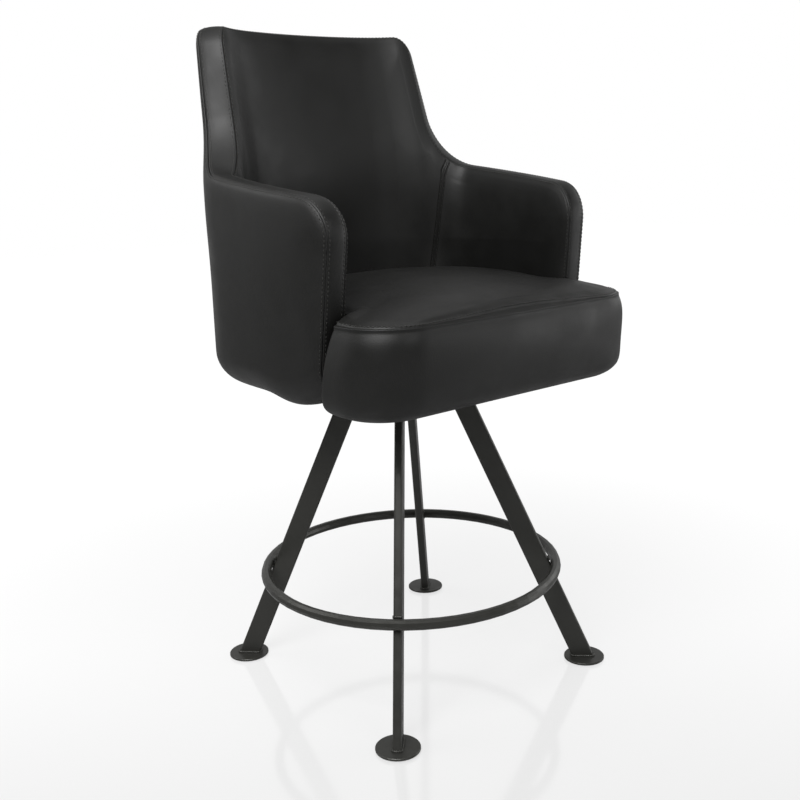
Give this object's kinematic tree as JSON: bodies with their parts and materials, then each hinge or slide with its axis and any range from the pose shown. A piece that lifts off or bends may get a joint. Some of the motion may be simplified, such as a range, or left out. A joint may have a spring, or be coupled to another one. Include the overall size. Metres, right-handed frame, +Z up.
{
  "type": "gaming stool",
  "caption": "Counter-height swivel stool with a leather tub seat, low arms, a thick T-shaped cushion, splayed flat-tube legs and a round foot ring.",
  "frame": {"origin": "on the floor, at the middle of the footprint, on the swivel axis", "axes": "+Z up, -Y the way the sitter faces, +X to the right of someone who looks at the stool from its front"},
  "size_m": [0.53, 0.5262, 0.992],
  "materials": {
    "seat_leather": "soft black leather with a fine grain and a low sheen",
    "powder_coated_steel": "satin near-black powder coat with a fine texture",
    "zinc_plated_steel": "bright zinc plate",
    "ball_steel": "polished bearing steel",
    "glide_nylon": "matt moulded nylon",
    "plywood": "unfinished birch plywood",
    "dust_cloth": "black non-woven cloth"
  },
  "bodies": {
    "base": {"ball_cage": "zinc_plated_steel", "bearing_ball_1": "ball_steel", "bearing_ball_10": "ball_steel", "bearing_ball_11": "ball_steel", "bearing_ball_12": "ball_steel", "bearing_ball_2": "ball_steel", "bearing_ball_3": "ball_steel", "bearing_ball_4": "ball_steel", "bearing_ball_5": "ball_steel", "bearing_ball_6": "ball_steel", "bearing_ball_7": "ball_steel", "bearing_ball_8": "ball_steel", "bearing_ball_9": "ball_steel", "foot_disc_front_left": "powder_coated_steel", "foot_disc_front_right": "powder_coated_steel", "foot_disc_rear_left": "powder_coated_steel", "foot_disc_rear_right": "powder_coated_steel", "foot_glide_front_left": "glide_nylon", "foot_glide_front_right": "glide_nylon", "foot_glide_rear_left": "glide_nylon", "foot_glide_rear_right": "glide_nylon", "foot_ring": "powder_coated_steel", "leg_front_left": "powder_coated_steel", "leg_front_right": "powder_coated_steel", "leg_plate": "powder_coated_steel", "leg_rear_left": "powder_coated_steel", "leg_rear_right": "powder_coated_steel", "lower_plate_screw_1": "zinc_plated_steel", "lower_plate_screw_2": "zinc_plated_steel", "lower_plate_screw_3": "zinc_plated_steel", "lower_plate_screw_4": "zinc_plated_steel", "pin_nut": "zinc_plated_steel", "pin_washer": "zinc_plated_steel", "swivel_lower_plate": "zinc_plated_steel", "swivel_pin": "zinc_plated_steel"},
    "seat": {"arm_pad_left": "seat_leather", "arm_pad_right": "seat_leather", "back_pad": "seat_leather", "dust_cover": "dust_cloth", "edge_strip": "seat_leather", "outer_cover": "seat_leather", "plywood_tub": "plywood", "seat_board": "plywood", "seat_cushion": "seat_leather", "swivel_upper_plate": "zinc_plated_steel", "tee_nut_1": "zinc_plated_steel", "tee_nut_2": "zinc_plated_steel", "tee_nut_3": "zinc_plated_steel", "tee_nut_4": "zinc_plated_steel", "tub_bracket_1": "zinc_plated_steel", "tub_bracket_2": "zinc_plated_steel", "tub_bracket_3": "zinc_plated_steel", "tub_bracket_4": "zinc_plated_steel", "tub_bracket_5": "zinc_plated_steel", "upper_plate_screw_1": "zinc_plated_steel", "upper_plate_screw_2": "zinc_plated_steel", "upper_plate_screw_3": "zinc_plated_steel", "upper_plate_screw_4": "zinc_plated_steel"}
  },
  "joints": [
    {"name": "seat_swivel", "type": "hinge", "parent": "base", "child": "seat", "pos_m": [0, 0, 0.4698], "axis": [0, 0, 1], "continuous": true}
  ]
}
